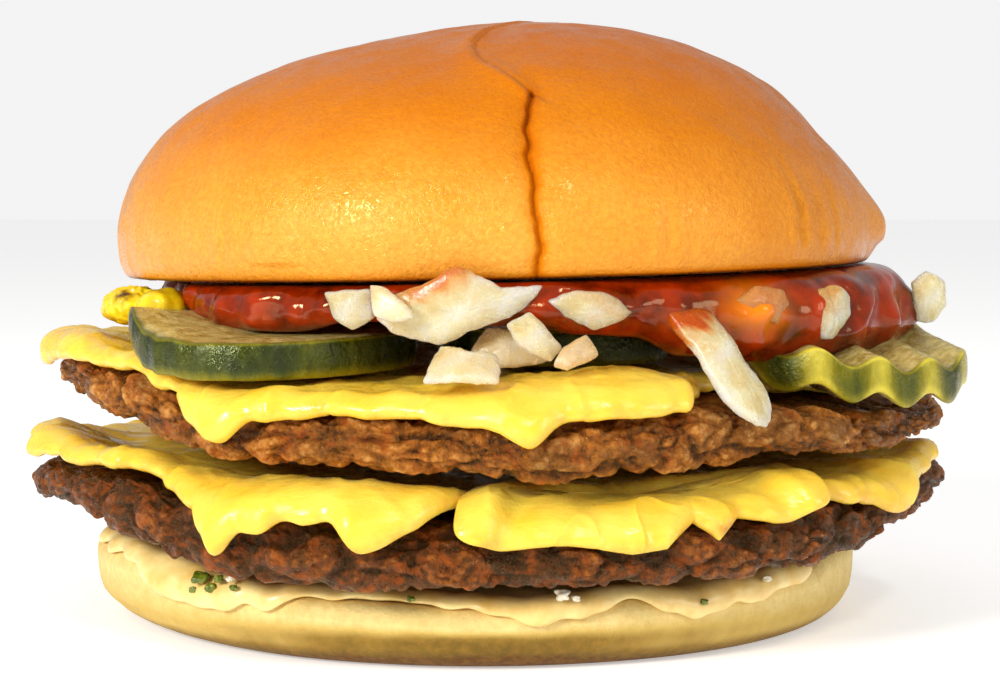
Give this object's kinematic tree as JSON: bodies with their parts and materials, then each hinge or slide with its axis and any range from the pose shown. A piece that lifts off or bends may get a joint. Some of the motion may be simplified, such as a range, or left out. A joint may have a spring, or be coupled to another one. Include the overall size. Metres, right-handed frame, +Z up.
{
  "type": "double cheeseburger",
  "caption": "Double cheeseburger: a domed bun crown and flat heel round seared patties, draped melted cheese, pickles, diced onion, ketchup, mustard and sauce.",
  "frame": {"origin": "centre of the flat underside of the heel's foot, on the table, under the middle of the crown", "axes": "+Z up through the layers, +X along the widest extent of the patties, -Y towards the side it is served from"},
  "size_m": [0.1177, 0.1167, 0.0765],
  "materials": {
    "crust": "glossy golden baked crust",
    "crumb": "matte pale bread",
    "sauce": "creamy satin",
    "meat": "rough seared and greasy",
    "cheese": "smooth melted",
    "pickle": "wet",
    "ketchup": "wet glossy",
    "mustard": "satin",
    "onion": "wet translucent"
  },
  "bodies": {
    "root": {"bun_crown": "crust", "bun_heel": "crumb", "sauce": "sauce", "patty_lower": "meat", "patty_upper": "meat", "cheese_lower_under": "cheese", "cheese_lower_over": "cheese", "cheese_upper": "cheese", "pickle_left": "pickle", "pickle_middle": "pickle", "pickle_right": "pickle", "pickle_back_left": "pickle", "pickle_back_right": "pickle", "ketchup": "ketchup", "mustard": "mustard", "onion_01": "onion", "onion_02": "onion", "onion_03": "onion", "onion_04": "onion", "onion_05": "onion", "onion_06": "onion", "onion_07": "onion", "onion_08": "onion", "onion_09": "onion", "onion_10": "onion", "onion_11": "onion", "onion_12": "onion", "onion_13": "onion", "onion_14": "onion", "onion_15": "onion", "onion_16": "onion"}
  },
  "joints": []
}
